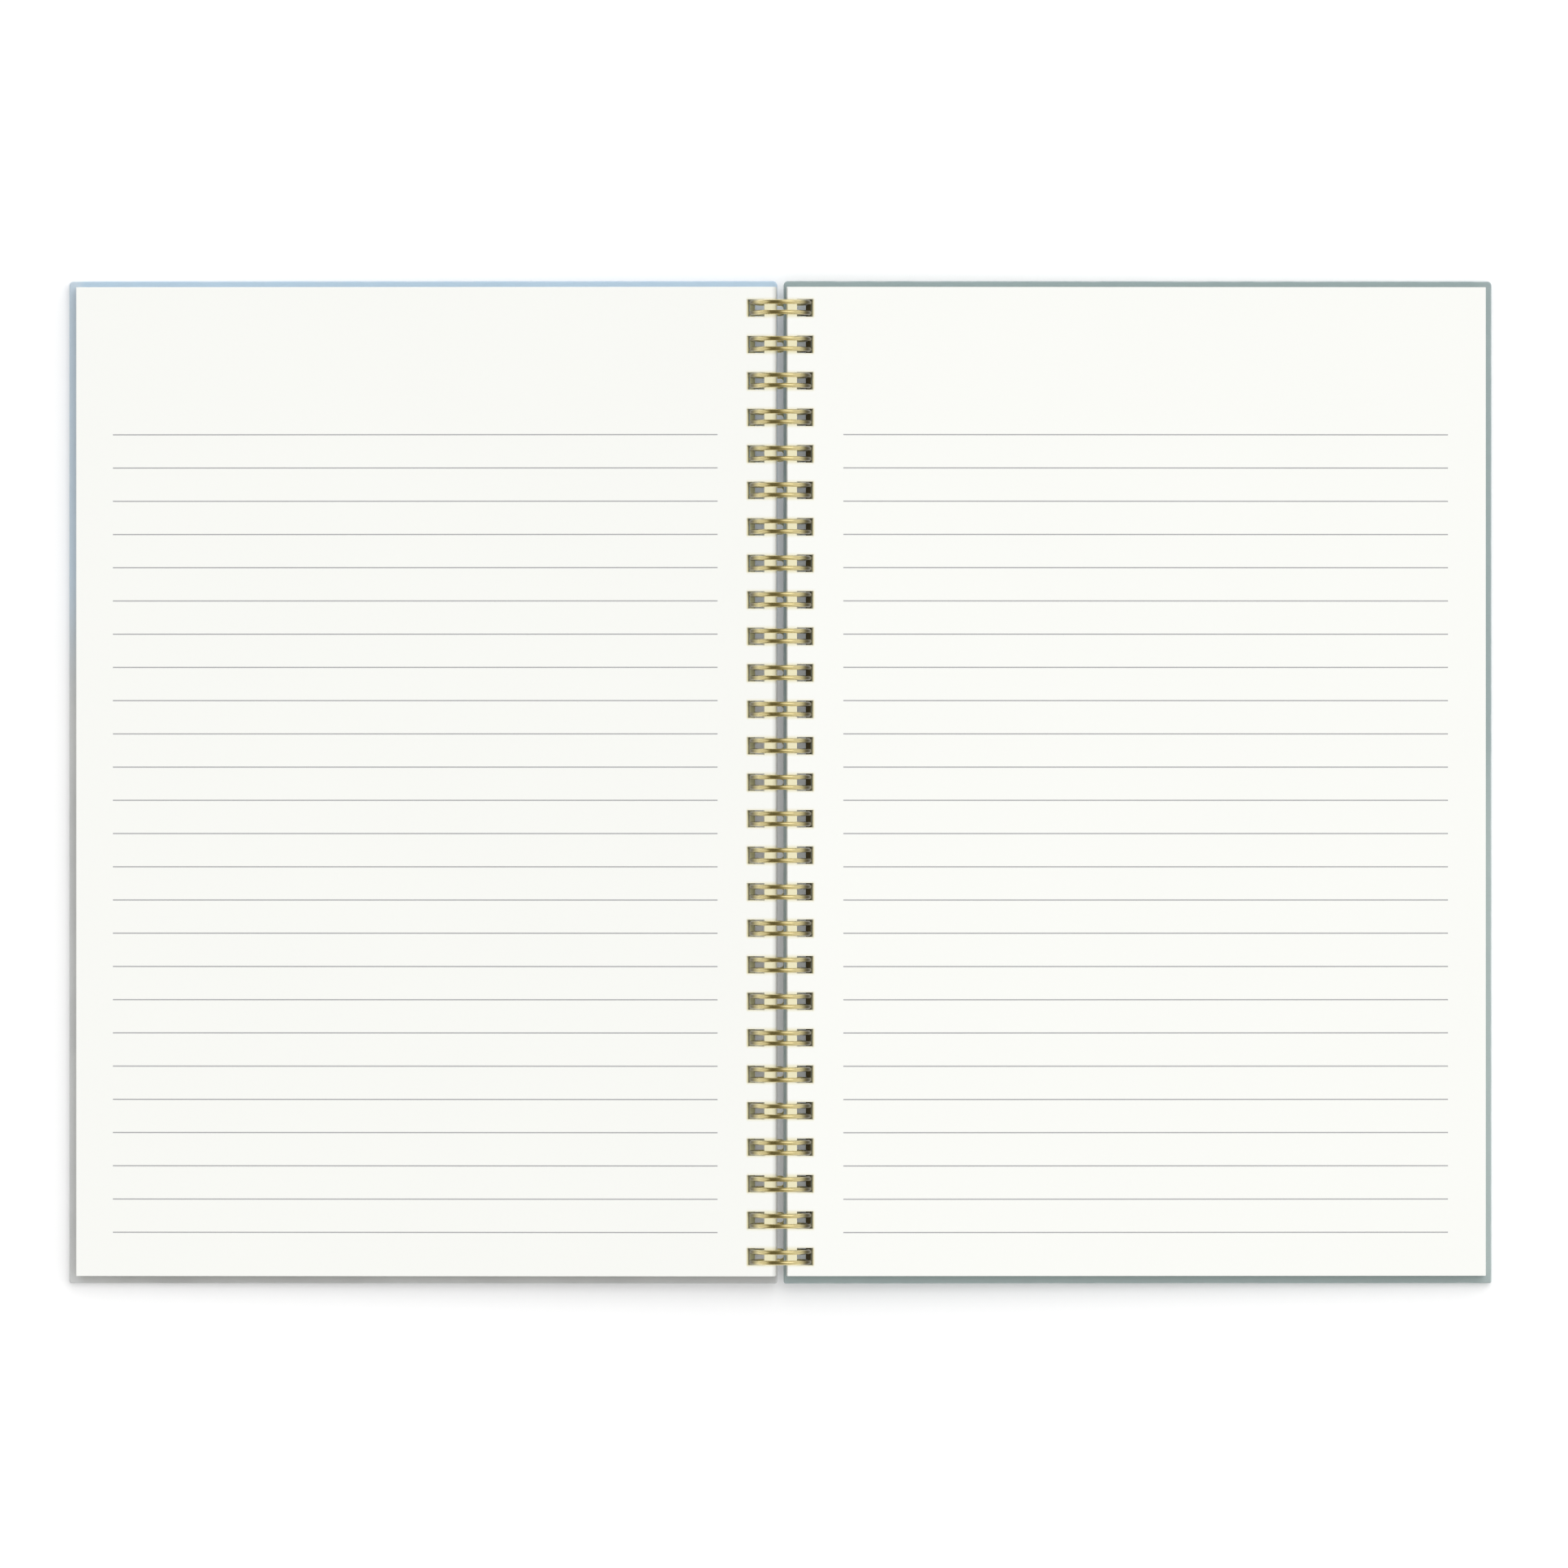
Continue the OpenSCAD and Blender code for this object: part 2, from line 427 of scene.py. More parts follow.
def wash_group():
    """A soft wash of colour from head to tail, cloudy at the tail, with painted light near the
    fore edge.
    """
    tree, given, end = new_group(
        "Cover wash", "ShaderNodeTree",
        [("Head", "Color", (0.5, 0.6, 0.7, 1)), ("Tail", "Color", (0.4, 0.4, 0.4, 1)),
         ("Turn", "Float", 0.01), ("Spread", "Float", 0.05), ("Cloud", "Float", 0.1),
         ("Cloud Size", "Float", 0.04), ("Fade", "Float", 0.3)],
        [("Colour", "Color", None)])
    place = object_place(tree, -900, -300)
    parts = split(tree, -700, -300, place)
    low = calc(tree, -450, -50, "SUBTRACT", given["Turn"], given["Spread"])
    high = calc(tree, -450, 150, "ADD", given["Turn"], given["Spread"])
    across = ramp(tree, -200, 0, parts["Y"], (low, high), smooth=True)
    washed = blend(tree, 50, 0, across, given["Tail"], given["Head"])
    scale = calc(tree, -700, -550, "DIVIDE", 1, given["Cloud Size"])
    cloud = noise(tree, -450, -500, place, scale, Detail=3, Distortion=0.4)
    centred = calc(tree, -200, -500, "SUBTRACT", cloud, 0.5)
    clear = ramp(tree, -50, -250, across, after=(1, 0.15))
    depth = calc(tree, 50, -550, "MULTIPLY", given["Cloud"], clear)
    amount = calc(tree, 200, -400, "MULTIPLY_ADD", centred, depth, 1)
    clouded = scaled(tree, 350, 0, washed, amount)
    # Painted light: near the fore edge the wash is blended towards pale grey, to light the strip
    # that the leaves shade
    out = calc(tree, 200, -700, "ABSOLUTE", parts["X"])
    fore = ramp(tree, 350, -700, out, PAINTED_LIGHT_X, (0, given["Fade"]), smooth=True)
    painted_lit = blend(tree, 600, 0, fore, clouded, (0.85, 0.86, 0.87, 1))
    feed(tree, painted_lit, end["Colour"])
    return tree


def rub_group():
    """Rubbed edges: lightens a colour along the rims that the attribute rim marks."""
    tree, given, end = new_group(
        "Edge rub", "ShaderNodeTree",
        [("Colour", "Color", (0.5, 0.5, 0.5, 1)), ("Rubbed", "Color", (0.8, 0.8, 0.8, 1)),
         ("Strength", "Float", 0.3)],
        [("Colour", "Color", None), ("Mask", "Float", None)])
    rim = node(tree, "ShaderNodeAttribute", -700, -100, attribute_name="rim")
    breakup = noise(tree, -700, -400, object_place(tree, -900, -400), 240, Detail=5)
    sharp = ramp(tree, -450, -400, breakup, (0.42, 0.62))
    wear_and_shade = calc(tree, -200, -200, "MULTIPLY", rim.outputs["Fac"], sharp)
    mask = calc(tree, 0, -200, "MULTIPLY", wear_and_shade, given["Strength"])
    feed(tree, blend(tree, 250, 0, mask, given["Colour"], given["Rubbed"]), end["Colour"])
    feed(tree, mask, end["Mask"])
    return tree


def shader_group(name):
    """The named shader group, built the first time that a material asks for it."""
    makers = {"Paper fibre": fibre_group, "Cover wash": wash_group, "Edge rub": rub_group}
    return bpy.data.node_groups.get(name) or makers[name]()


def add_group(tree, name, x, y, inputs):
    """Places a shader group in a tree, and gives its outputs."""
    return node(tree, "ShaderNodeGroup", x, y, inputs, node_tree=shader_group(name)).outputs


def new_material(name, **constants):
    """A material, its tree and its Principled shader, with constants set on the sockets."""
    material = bpy.data.materials.new(name)
    material.use_nodes = True
    tree = material.node_tree
    shader = tree.nodes["Principled BSDF"]
    for label, value in constants.items():
        shader.inputs[label.replace("_", " ")].default_value = value
    return material, tree, shader


def add_bump(tree, shader, height, strength, distance):
    bump = node(tree, "ShaderNodeBump", -250, -400, {
        "Strength": strength, "Distance": distance, "Height": height})
    feed(tree, bump.outputs["Normal"], shader.inputs["Normal"])


def rgba(colour):
    return (*colour, 1.0)


def cover_material(name, head, tail, turn, cloud, painted_light):
    """Printed wrap under a matt film: a wash of colour with painted light near the fore edge,
    scuffed a little at the rims.
    """
    material, tree, shader = new_material(name, Coat_Roughness=0.35, Specular_IOR_Level=0.4)
    wash = add_group(tree, "Cover wash", -900, 200, {
        "Head": rgba(head), "Tail": rgba(tail), "Turn": turn, "Spread": 18 * MM,
        "Cloud": cloud, "Cloud Size": 30 * MM, "Fade": painted_light})
    rub = add_group(tree, "Edge rub", -650, 200, {
        "Colour": wash["Colour"], "Rubbed": (0.66, 0.68, 0.69, 1), "Strength": 0.25})
    fibre = add_group(tree, "Paper fibre", -400, 200, {
        "Colour": rub["Colour"], "Fleck": 0.05, "Fibre Size": 0.25 * MM})
    rough = ramp(tree, -400, -100, rub["Mask"], after=(0.40, 0.62))
    feed(tree, fibre["Colour"], shader.inputs["Base Color"])
    feed(tree, rough, shader.inputs["Roughness"])
    add_bump(tree, shader, fibre["Height"], 0.25, 0.02 * MM)
    return material


def board_material(name, colour):
    """Coarse paper stock: the grey board that the punch cut, painted lit in the front cover and in
    shade in the back, and the dark strips of painted shade seen through the holes.
    """
    material, tree, shader = new_material(name, Roughness=0.9)
    fibre = add_group(tree, "Paper fibre", -500, 0, {
        "Colour": rgba(colour), "Fleck": 0.3, "Fibre Size": 0.3 * MM})
    feed(tree, fibre["Colour"], shader.inputs["Base Color"])
    add_bump(tree, shader, fibre["Height"], 0.6, 0.08 * MM)
    return material


def leaf_material(paper):
    """Uncoated white paper; the attribute tone sets one leaf off from the next."""
    material, tree, shader = new_material("Leaf paper", Roughness=0.82, Specular_IOR_Level=0.25)
    parts = split(tree, -900, -100, object_place(tree, -1100, -100))
    tone = node(tree, "ShaderNodeAttribute", -900, 200, attribute_name="tone")
    shade = ramp(tree, -700, 200, tone.outputs["Fac"], after=(0.98, 1.0))
    # Painted shade on the left leaves by the spine
    bright = calc(tree, -300, -100, "SUBTRACT", shade, curl_shade(tree, parts))
    # Painted warm bounce light from the gold rings, multiplied into the paper near each ring
    bounce_tinted = blend(tree, -150, 400, painted_ring_bounce(tree, parts),
                   scaled(tree, -500, 200, paper, bright), (0.885, 0.825, 0.585, 1), "MULTIPLY")
    fibre = add_group(tree, "Paper fibre", -300, 200, {
        "Colour": bounce_tinted, "Fleck": 0.012, "Fibre Size": 0.35 * MM})
    feed(tree, fibre["Colour"], shader.inputs["Base Color"])
    add_bump(tree, shader, fibre["Height"], 0.12, 0.015 * MM)
    return material


def curl_shade(tree, parts):
    """Painted shade: how much darker the left leaves are made close to the spine, where they would
    bend down to it; the leaves themselves lie flat.
    """
    spine_shade = ramp(tree, -700, -100, parts["X"], CURL_SHADE_X, (0, 0.34))
    on_left = calc(tree, -700, -400, "LESS_THAN", parts["X"], 0)
    return calc(tree, -500, -100, "MULTIPLY", spine_shade, on_left)


def painted_ring_bounce(tree, parts):
    """Painted reflected light: how much of the rings' gold colour the page takes on, close to each
    ring.
    """
    from_first = calc(tree, -900, 600, "SUBTRACT", parts["Y"], RING_YS[0])
    along = calc(tree, -700, 600, "PINGPONG", from_first, (RING_YS[1] - RING_YS[0]) / 2)
    across = calc(tree, -700, 850, "ABSOLUTE", parts["X"])
    near = [ramp(tree, -500, 600 + 250 * i, distance, band, (1, 0), smooth=True)
            for i, (distance, band) in enumerate(((along, BOUNCE_Y), (across, BOUNCE_X)))]
    return calc(tree, -300, 700, "MULTIPLY", *near)


def ink_material(ink):
    """Grey offset ink: it lets a little of the paper's fleck through."""
    material, tree, shader = new_material("Ruling ink", Roughness=0.7, Specular_IOR_Level=0.3)
    fibre = add_group(tree, "Paper fibre", -400, 100, {
        "Colour": rgba(ink), "Fleck": 0.12, "Fibre Size": 0.3 * MM})
    feed(tree, fibre["Colour"], shader.inputs["Base Color"])
    return material


def gold_material(gold):
    """Gold-coloured plated wire, drawn smooth, with painted shade on it where it runs down into
    the holes.
    """
    material, tree, shader = new_material("Gold wire", Metallic=1.0, Coat_Roughness=0.1)
    place = object_place(tree, -1000, 0)
    parts = split(tree, -800, 500, place)
    polish = noise(tree, -800, -100, place, 1500, Detail=3)
    rough = ramp(tree, -550, -100, polish, after=(0.13, 0.27))
    shade = ramp(tree, -550, 250, noise(tree, -800, 250, place, 90), after=(0.9, 1.06))
    bright = scaled(tree, -300, 250, gold, shade)
    # Painted shade: the wire turns dark brown where it runs into the holes, starting a little
    # nearer the axis on the right
    off = calc(tree, -700, 650, "ADD", parts["X"], HOLE_SHADE_SHIFT)
    out = calc(tree, -620, 500, "ABSOLUTE", off)
    hole_shade = ramp(tree, -450, 500, out, HOLE_SHADE_X, smooth=True)
    wear_and_shade = blend(tree, -100, 300, hole_shade, bright, (0.07, 0.055, 0.02, 1))
    feed(tree, wear_and_shade, shader.inputs["Base Color"])
    feed(tree, rough, shader.inputs["Roughness"])
    add_bump(tree, shader, polish, 0.08, 0.02 * MM)
    return material


# Sheets with punched holes

def punched_slab(low_xs, xs, ys, zs):
    """A slab over a grid between two heights, open at the holes; its lower xs may differ."""
    bm = bmesh.new()
    low, high = [[[bm.verts.new((x, y, z)) for y in ys] for x in columns]
                 for columns, z in zip((low_xs, xs), zs)]
    solid = {(i, j) for i in range(len(xs) - 1) for j in range(len(ys) - 1)
             if not (i == 1 and j % 2 == 1)}
    for i, j in solid:
        ring = [(i, j), (i + 1, j), (i + 1, j + 1), (i, j + 1)]
        bm.faces.new([high[a][b] for a, b in ring])
        bm.faces.new([low[a][b] for a, b in reversed(ring)])
        for k, step in enumerate(((0, -1), (1, 0), (0, 1), (-1, 0))):
            if (i + step[0], j + step[1]) not in solid:
                (a, b), (c, d) = ring[k], ring[(k + 1) % 4]
                bm.faces.new([low[a][b], low[c][d], high[c][d], high[a][b]])
    return bm


def board_mesh(covers):
    """A cover board: corners rounded, rims rolled by the wrap, holes punched clean."""
    low_end, end = [math.sqrt(RING_AXIS.z ** 2 - z ** 2) + covers.hole_play
                    for z in (BOARD_ZS[0], BOARD_ZS[-1])]
    # Painted shade: the dark strip on the board's inner face ends here, past the holes
    painted_shade_end = HOLE_X[1] + covers.painted_shade
    xs = [BOARD_XS[0], HOLE_X[0], end, painted_shade_end, BOARD_XS[-1]]
    low_xs = [low_end if x == end else x for x in xs]
    ys = [BOARD_YS[0], *HOLE_YS, BOARD_YS[-1]]
    bm = punched_slab(low_xs, xs, ys, (BOARD_ZS[0], BOARD_ZS[-1]))
    round_corners(bm, xs, ys, covers)
    bm.normal_update()
    wall = {f for f in bm.faces if abs(f.normal.z) < WALL_Z}
    rims = [e for e in bm.edges if len(e.link_faces) == 2
            and sum(f in wall for f in e.link_faces) == 1]
    outer_rims = [e for e in rims if near_outline(e, xs, ys, covers.head_radius)]
    hole_rims = [e for e in rims if e not in set(outer_rims)]
    for face in bm.faces:
        x, y, _ = face.calc_center_median()
        # Cut walls take the core colour, painted lit in the front cover and in shade in the back;
        # the inner face by the holes takes the strip of painted shade
        if face in wall and not near_outline(face, xs, ys, covers.head_radius):
            face.material_index = CORE
        elif (face.normal.z > WALL_Z and HOLE_X[0] < x < painted_shade_end
                and HOLE_YS[0] < y < HOLE_YS[-1]):
            face.material_index = PAINTED_SHADE
    rim_layer = bm.verts.layers.float.new("rim")
    made = bmesh.ops.bevel(bm, geom=outer_rims, offset=covers.edge_radius, segments=4,
                           profile=0.5, affect="EDGES")
    rolled = set(made["faces"])
    for vert in made["verts"]:
        vert[rim_layer] = float(all(face in rolled for face in vert.link_faces))
    bmesh.ops.bevel(bm, geom=[e for e in hole_rims if e.is_valid], offset=covers.punch_radius,
                    segments=1, affect="EDGES")
    settle_faces(bm)
    return finished_mesh("board", bm)


def settle_faces(bm):
    """Sorts the faces, because the bevels leave them in another order on each run."""
    bm.verts.index_update()
    in_order = sorted(bm.faces, key=lambda face: sorted(v.index for v in face.verts))
    ranks = {face: i for i, face in enumerate(in_order)}
    bm.faces.sort(key=lambda face: ranks[face])


def round_corners(bm, xs, ys, covers):
    """Rounds the four upright edges of a slab, with one radius at the head and one at the tail."""
    at_end = {0: (xs[0], xs[-1]), 1: (ys[0], ys[-1])}
    posts = [e for e in bm.edges
             if abs(e.verts[0].co.z - e.verts[1].co.z) > TINY
             and all(min(abs(e.verts[0].co[a] - s) for s in at_end[a]) < TINY for a in at_end)]
    for radius, at_head in ((covers.head_radius, True), (covers.tail_radius, False)):
        corners = [e for e in posts if e.is_valid and (e.verts[0].co.y > 0) == at_head]
        bmesh.ops.bevel(bm, geom=corners, offset=radius, segments=6, profile=0.5,
                        affect="EDGES")


def near_outline(element, xs, ys, reach):
    """Whether all corners of an edge or a face lie on the slab's outline or round its corners."""
    for vert in element.verts:
        x, y = vert.co.x, vert.co.y
        gap = min(x - xs[0], xs[-1] - x, y - ys[0], ys[-1] - y)
        if gap > reach * 0.5:
            return False
    return True


# Geometry trees

def stack_tree():
    """Copies one leaf up into a stack that fans out, each copy a little out of line."""
    tree, given, end = new_group(
        "Leaf stack", "GeometryNodeTree",
        [("Geometry", "Geometry", None), ("Count", "Int", 26), ("Pitch", "Float", 0.0001),
         ("Fan", "Float", 0.0003), ("Stray", "Float", 0.0001), ("Seed", "Int", 7),
         ("Material", "Material", None)],
        [("Geometry", "Geometry", None)])
    share = calc(tree, -900, -200, "DIVIDE", given["Fan"], given["Count"])
    up = node(tree, "ShaderNodeCombineXYZ", -700, -200, {"X": share, "Z": given["Pitch"]})
    back = calc(tree, -900, 100, "MULTIPLY", given["Fan"], -1)
    foot = node(tree, "ShaderNodeCombineXYZ", -700, 50, {"X": back})
    line = node(tree, "GeometryNodeMeshLine", -500, -100, {
        "Start Location": foot.outputs[0], "Count": given["Count"],
        "Offset": up.outputs[0]}, mode="OFFSET")
    wide = node(tree, "ShaderNodeCombineXYZ", -700, -450, {
        "X": given["Stray"], "Y": given["Stray"]}).outputs[0]
    stray = node(tree, "FunctionNodeRandomValue", -300, -450, {
        0: scaled(tree, -500, -550, wide, -1), 1: wide, "Seed": given["Seed"]},
        data_type="FLOAT_VECTOR")
    shift = node(tree, "GeometryNodeSetPosition", -100, -100, {
        "Geometry": line.outputs[0], "Offset": stray.outputs[0]})
    tone = node(tree, "FunctionNodeRandomValue", -100, -450, {"Seed": given["Seed"]},
                data_type="FLOAT")
    store = node(tree, "GeometryNodeStoreNamedAttribute", 100, -100, {
        "Geometry": shift.outputs[0], "Name": "tone", "Value": tone.outputs[1]},
        data_type="FLOAT", domain="POINT")
    finish_tree(tree, copies_on(tree, store.outputs[0], given), given, end)
    return tree


def ruling_tree():
    """Rules a page: one thin strip of ink, repeated down the page."""
    tree, given, end = new_group(
        "Page ruling", "GeometryNodeTree",
        [("Geometry", "Geometry", None), ("Count", "Int", 25), ("Pitch", "Float", 0.0077),
         ("Material", "Material", None)],
        [("Geometry", "Geometry", None)])
    down = calc(tree, -700, -200, "MULTIPLY", given["Pitch"], -1)
    step = node(tree, "ShaderNodeCombineXYZ", -500, -200, {"Y": down})
    line = node(tree, "GeometryNodeMeshLine", -300, -100, {
        "Count": given["Count"], "Offset": step.outputs[0]}, mode="OFFSET")
    finish_tree(tree, copies_on(tree, line.outputs[0], given), given, end)
    return tree


def wire_tree():
    """Draws round wire along a path, with its two ends closed."""
    tree, given, end = new_group(
        "Drawn wire", "GeometryNodeTree",
        [("Geometry", "Geometry", None), ("Radius", "Float", 0.0005), ("Sides", "Int", 12),
         ("Material", "Material", None)],
        [("Geometry", "Geometry", None)])
    section = node(tree, "GeometryNodeCurvePrimitiveCircle", -400, -200, {
        "Resolution": given["Sides"], "Radius": given["Radius"]})
    drawn = node(tree, "GeometryNodeCurveToMesh", -100, 0, {
        "Curve": given["Geometry"], "Profile Curve": section.outputs[0], "Fill Caps": True})
    smooth = node(tree, "GeometryNodeSetShadeSmooth", 150, 0, {"Geometry": drawn.outputs[0]})
    finish_tree(tree, smooth.outputs[0], given, end)
    return tree


def copies_on(tree, points, given):
    """Puts a copy of the given shape on each point."""
    return node(tree, "GeometryNodeInstanceOnPoints", 300, 0, {
        "Points": points, "Instance": given["Geometry"]}).outputs[0]


def finish_tree(tree, result, given, end):
    """Ends a geometry tree: instances made real, then the material."""
    real = node(tree, "GeometryNodeRealizeInstances", 500, 0, {0: result})
    paint = node(tree, "GeometryNodeSetMaterial", 700, 0, {
        "Geometry": real.outputs[0], "Material": given["Material"]})
    feed(tree, paint.outputs[0], end["Geometry"])


# The wire's path

def wire_path(wire):
    """Points along the middle of the wire, ring after ring from tail to head."""
    ring_r = RING_AXIS.z - wire.thickness / 2
    half_pair = wire.pair / 2
    sweep = math.radians(270) + wire.seam
    bend_steps, tip_steps = 5, 10
    seam_point = Vector((math.cos(wire.seam), 0, -math.sin(wire.seam))) * ring_r
    along = Vector((-math.sin(wire.seam), 0, -math.cos(wire.seam)))
    across = Vector((0, 1, 0))

    def arc(y):
        turn = [-wire.seam + sweep * k / wire.ring_steps for k in range(wire.ring_steps + 1)]
        return [Vector((ring_r * math.cos(t), y, ring_r * math.sin(t))) for t in turn]

    def bend(y, way):
        turn = [math.pi / 2 * k / bend_steps for k in range(1, bend_steps + 1)]
        foot = seam_point + across * y
        return [foot + wire.bend * (along * math.sin(t) + across * way * (1 - math.cos(t)))
                for t in turn]

    points = []
    for i, y in enumerate(RING_YS):
        if i > 0:
            points += reversed(bend(y - half_pair, -1))
        points += arc(y - half_pair)
        turn = [math.pi * (k / tip_steps - 0.5) for k in range(1, tip_steps)]
        points += [Vector((half_pair * math.cos(t), y + half_pair * math.sin(t), -ring_r))
                   for t in turn]
        points += reversed(arc(y + half_pair))
        if i < len(RING_YS) - 1:
            points += bend(y + half_pair, 1)
    return [RING_AXIS + p for p in points]


# Operators

class PLANNER_OT_covers(bpy.types.Operator):
    """Makes the two cover boards with their printed wraps"""
    bl_idname = "planner.covers"
    bl_label = "Cover boards"

    def execute(self, context):
        covers = context.scene.planner_covers
        # Front cover: core painted lit, strip of painted shade, painted light by the fore edge;
        # back cover: core painted in shade, strip of painted shade, a little painted light by the
        # fore edge
        looks = {
            LEFT: ("front", covers.front_core_lit, covers.front_painted_shade, {
                "head": covers.front_head, "tail": covers.front_tail,
                "turn": 33 * MM, "cloud": 0.7, "painted_light": 0.27}),
            RIGHT: ("back", covers.back_core_shaded, covers.back_painted_shade, {
                "head": covers.back_head, "tail": covers.back_tail,
                "turn": 0.0, "cloud": 0.08, "painted_light": 0.05}),
        }
        for side, (label, core, painted_shade, wrap) in looks.items():
            mesh = board_mesh(covers)
            mesh.materials.append(cover_material(label + " wrap", **wrap))
            mesh.materials.append(board_material(label + " core", core))
            mesh.materials.append(board_material(label + " lining", painted_shade))
            seat_half(mesh, side)
            board = add_object(label + "_board", mesh)
            dress(board, BODY[side], label + "_board", label + "_cover")
        return {"FINISHED"}


class PLANNER_OT_leaves(bpy.types.Operator):
    """Makes the punched leaves on both sides, and rules the two open pages"""
    bl_idname = "planner.leaves"
    bl_label = "Leaves and ruling"

    def execute(self, context):
        leaves = context.scene.planner_leaves
        paper = leaf_material(leaves.paper)
        ink = ink_material(leaves.ink)
        stack, ruling = stack_tree(), ruling_tree()
        low, high = LEAF_ZS[0], LEAF_ZS[-1]
        pitch = (high - low) / leaves.count
        hole_ys = [y + (-1) ** (k + 1) * leaves.side_wear for k, y in enumerate(HOLE_YS)]
        for side, label, inset, fore, fan, wear in (
                (LEFT, "left", leaves.left_inset, leaves.left_fore_inset, leaves.left_fan,
                 leaves.left_wear),
                (RIGHT, "right", leaves.right_inset, leaves.right_fore_inset,
                 leaves.right_fan, leaves.right_wear)):
            xs = (LEAF_XS[0] + inset, HOLE_X[0], HOLE_X[1] + wear, LEAF_XS[-1] - fore)
            ys = (LEAF_YS[0] + leaves.tail_inset, *hole_ys, LEAF_YS[-1])
            bm = punched_slab(xs, xs, ys, (low + pitch * leaves.slack, low + pitch))
            leaf = add_object("leaf", finished_mesh("leaf", bm))
            pages = plain_mesh(label + "_leaves", leaf, stack, {
                "Count": leaves.count, "Pitch": pitch, "Fan": fan, "Stray": leaves.stray,
                "Seed": leaves.seed + side, "Material": paper})
            seat_half(pages.data, side)
            dress(pages, BODY[side], "paper", label + "_pages")
            strip = add_object("strip", strip_mesh(leaves, high))
            lines = plain_mesh(label + "_ruling", strip, ruling, {
                "Count": leaves.rule_count, "Pitch": leaves.rule_pitch, "Material": ink})
            seat_half(lines.data, side)
            dress(lines, BODY[side], "paper")
        return {"FINISHED"}


def strip_mesh(leaves, page_z):
    """The first ruled line, as a flat strip of ink on the page."""
    half = leaves.rule_width / 2
    low = Vector((leaves.rule_from, leaves.rule_first - half, page_z - leaves.ink_rise))
    high = Vector((leaves.rule_to, leaves.rule_first + half, page_z + leaves.ink_rise))
    bm = bmesh.new()
    bmesh.ops.create_cube(bm, size=1)
    for vert in bm.verts:
        vert.co = [low[a] if vert.co[a] < 0 else high[a] for a in range(3)]
    return finished_mesh("strip", bm)


class PLANNER_OT_wire(bpy.types.Operator):
    """Makes the twin-loop wire as one piece of drawn wire"""
    bl_idname = "planner.wire"
    bl_label = "Twin-loop wire"

    def execute(self, context):
        wire = context.scene.planner_wire
        points = wire_path(wire)
        curve = bpy.data.curves.new("wire path", "CURVE")
        curve.dimensions = "3D"
        spline = curve.splines.new("POLY")
        spline.points.add(len(points) - 1)
        for point, place in zip(spline.points, points):
            point.co = (*place, 1)
        rings = plain_mesh("ring_wire", add_object("wire path", curve), wire_tree(), {
            "Radius": wire.thickness / 2, "Sides": wire.sides,
            "Material": gold_material(wire.gold)})
        rings.visible_shadow = False
        rings.visible_diffuse = False
        dress(rings, "binding", "gold_wire", "twin_loop_wire")
        return {"FINISHED"}


class PLANNER_OT_stage(bpy.types.Operator):
    """Sets the floor, the light and the camera that looks straight down"""
    bl_idname = "planner.stage"
    bl_label = "Floor, light and camera"

    def execute(self, context):
        stage = context.scene.planner_stage
        context.scene.view_settings.view_transform = "Standard"
        add_floor(stage)
        add_key_light(stage)
        add_world(context.scene, stage)
        add_camera(context.scene, stage)
        return {"FINISHED"}


def add_floor(stage):
    bm = bmesh.new()
    bmesh.ops.create_grid(bm, x_segments=1, y_segments=1, size=FLOOR_SIDE / 2)
    mesh = finished_mesh("floor", bm)
    material, _, shader = new_material("Floor", Roughness=0.9, Specular_IOR_Level=0.0)
    shader.inputs["Base Color"].default_value = rgba(stage.floor_colour)
    shader.inputs["Emission Color"].default_value = WHITE
    shader.inputs["Emission Strength"].default_value = stage.floor_glow
    mesh.materials.append(material)
    floor = add_object("floor", mesh)


def add_key_light(stage):
    lamp = bpy.data.lights.new("key", "SUN")
    lamp.energy = stage.sun
    lamp.angle = math.radians(45)
    key = add_object("key", lamp)
    key.rotation_euler = LIGHT_FROM.to_track_quat("Z", "Y").to_euler()


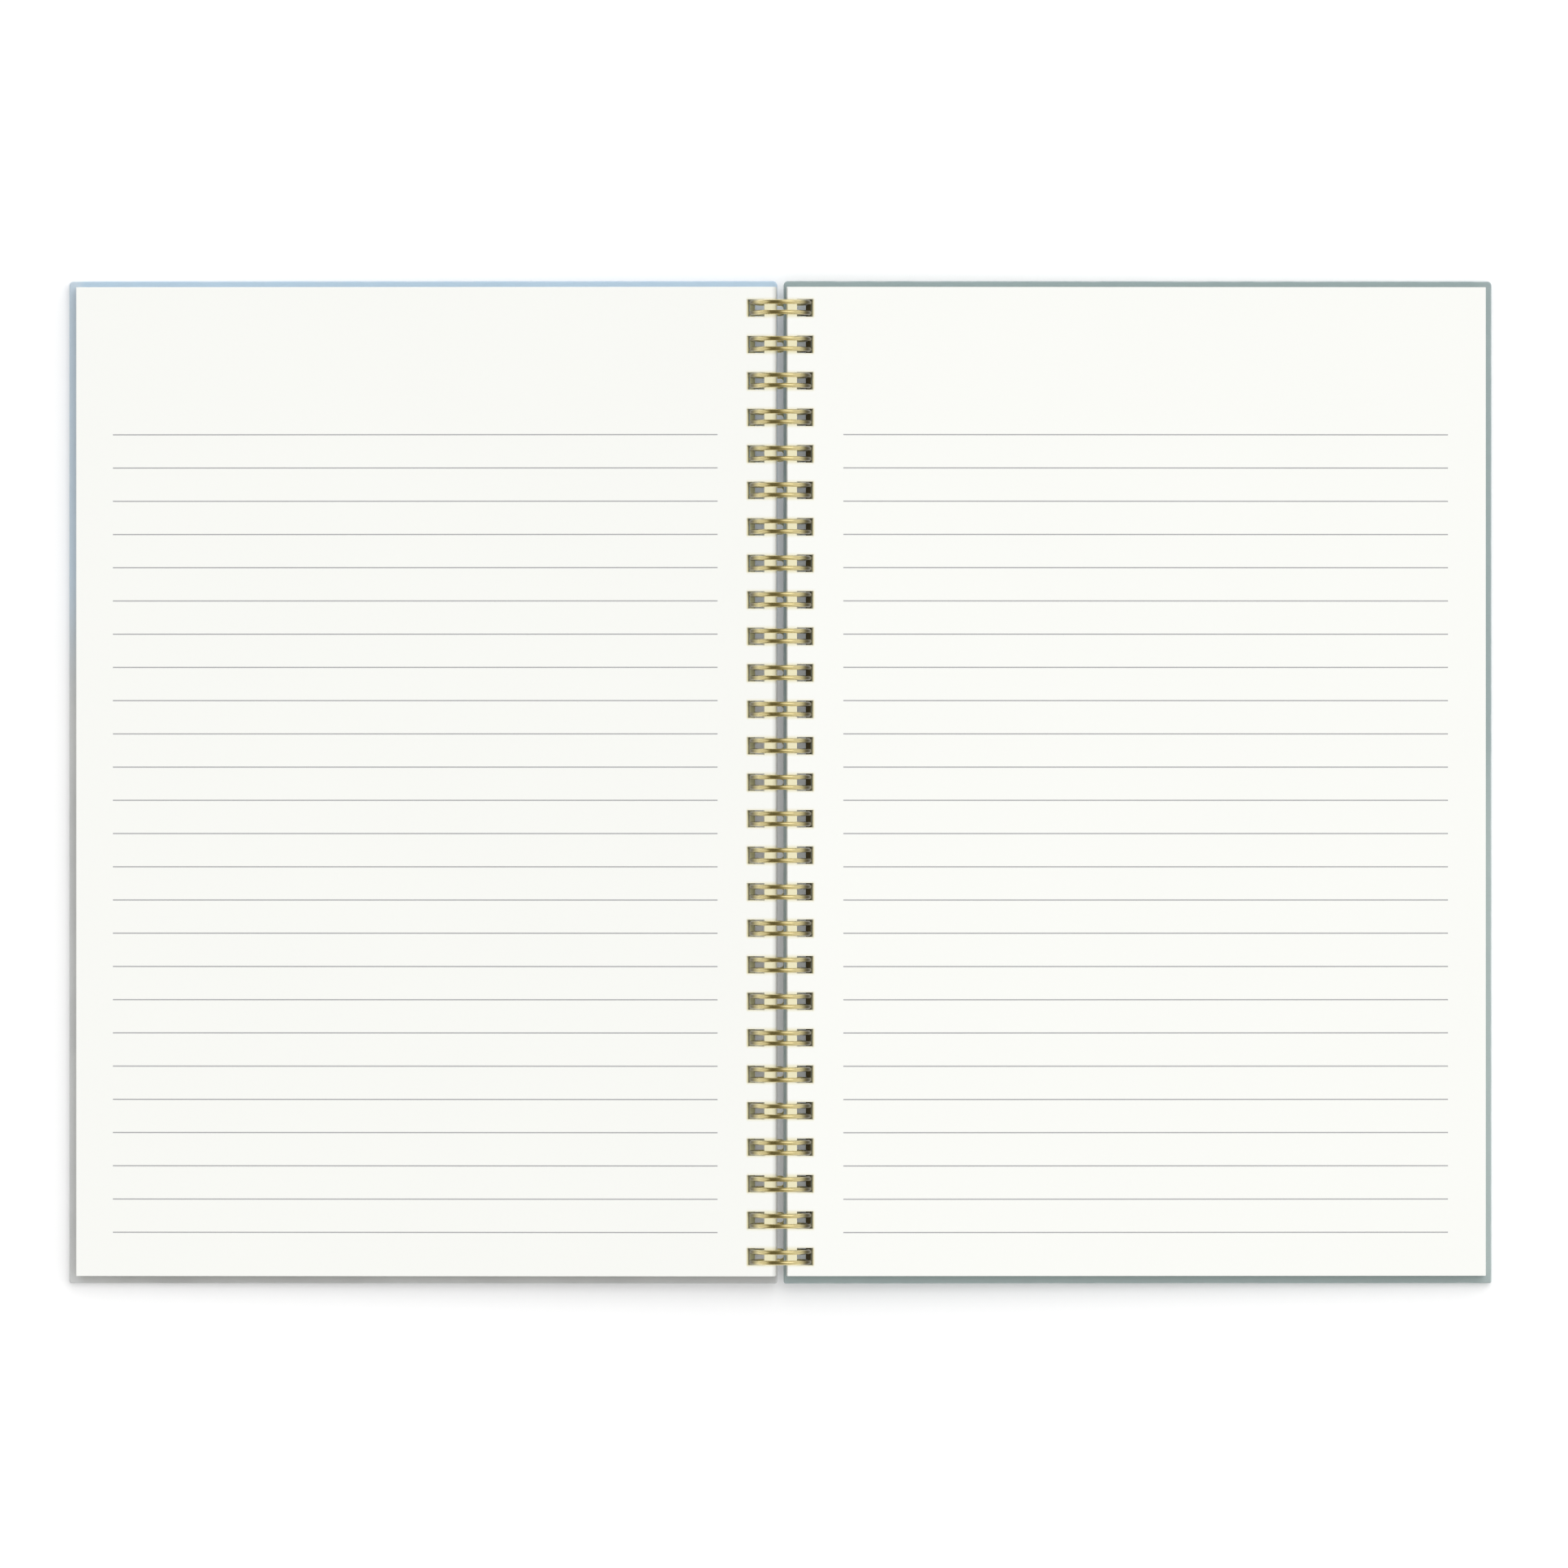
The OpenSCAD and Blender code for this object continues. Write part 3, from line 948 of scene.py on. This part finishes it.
def add_world(scene, stage):
    """A sky that leans for paper, a card of its own for metal, and white for the camera."""
    world = bpy.data.worlds.new("studio")
    scene.world = world
    world.use_nodes = True
    tree = world.node_tree
    tree.nodes.clear()
    path = node(tree, "ShaderNodeLightPath", -900, 300).outputs
    place = node(tree, "ShaderNodeTexCoord", -900, -100).outputs["Generated"]
    level_from = Vector((*LIGHT_FROM.xy, 0)).normalized()
    lean = node(tree, "ShaderNodeVectorMath", -700, 500, {
        0: place, 1: level_from * stage.lean * stage.fill}, operation="DOT_PRODUCT")
    sky = calc(tree, -450, 500, "ADD", lean.outputs["Value"], stage.fill)
    # Metal sees a pale wall on the right, a dark ceiling on the left and a pale band below it
    x = split(tree, -700, -100, place)["X"]
    walls = [ramp(tree, -450, -100 - 300 * i, x, (near, far), (low, 0.8), smooth=True)
             for i, (near, far, low) in enumerate(((-0.25, 0.72, 0.14), (-0.54, -0.80, 0.0)))]
    card = calc(tree, -200, -100, "MAXIMUM", *walls)
    tint = blend(tree, -200, -500, card, (1.0, 0.86, 0.42, 1), WHITE)
    even, seen, shiny = [
        node(tree, "ShaderNodeBackground", 0, 200 - 200 * i, {
            "Color": colour, "Strength": strength}).outputs[0]
        for i, (colour, strength) in enumerate(((WHITE, sky), (WHITE, 1), (tint, card)))]
    by_gloss = node(tree, "ShaderNodeMixShader", 250, 0, {
        0: path["Is Glossy Ray"], 1: even, 2: shiny})
    by_camera = node(tree, "ShaderNodeMixShader", 450, 0, {
        0: path["Is Camera Ray"], 1: by_gloss.outputs[0], 2: seen})
    node(tree, "ShaderNodeOutputWorld", 650, 0, {0: by_camera.outputs[0]})


def add_camera(scene, stage):
    data = bpy.data.cameras.new("camera")
    data.lens = stage.lens
    data.sensor_width = SENSOR_MM
    camera = add_object("camera", data)
    middle = IMAGE_SIDE_PX / 2
    page_z = RING_AXIS.z / 2
    view_side = IMAGE_SIDE_PX * stage.px_size
    distance = view_side * data.lens / data.sensor_width
    camera.location = (
        (middle - stage.centre_px[0]) * stage.px_size,
        (stage.centre_px[1] - middle) * stage.px_size,
        page_z + distance)
    data.clip_end = 3 * distance
    scene.camera = camera


class PLANNER_PT_panel(bpy.types.Panel):
    bl_label = "Planner"
    bl_idname = "PLANNER_PT_panel"
    bl_space_type = "VIEW_3D"
    bl_region_type = "UI"
    bl_category = "Planner"

    def draw(self, context):
        for step in STEPS:
            self.layout.operator(step.bl_idname)
        for name, group in GROUPS.items():
            box = self.layout.box()
            for prop in group.__annotations__:
                box.prop(getattr(context.scene, name), prop)


STEPS = (PLANNER_OT_covers, PLANNER_OT_leaves, PLANNER_OT_wire, PLANNER_OT_stage)
CLASSES = (*GROUPS.values(), *STEPS, PLANNER_PT_panel)


def register():
    for cls in CLASSES:
        bpy.utils.register_class(cls)
    for name, group in GROUPS.items():
        setattr(bpy.types.Scene, name, bpy.props.PointerProperty(type=group))


def unregister():
    for name in GROUPS:
        delattr(bpy.types.Scene, name)
    for cls in reversed(CLASSES):
        bpy.utils.unregister_class(cls)


def main():
    register()
    bpy.ops.planner.covers()
    bpy.ops.planner.leaves()
    bpy.ops.planner.wire()
    bpy.ops.planner.stage()


if __name__ == "__main__":
    main()
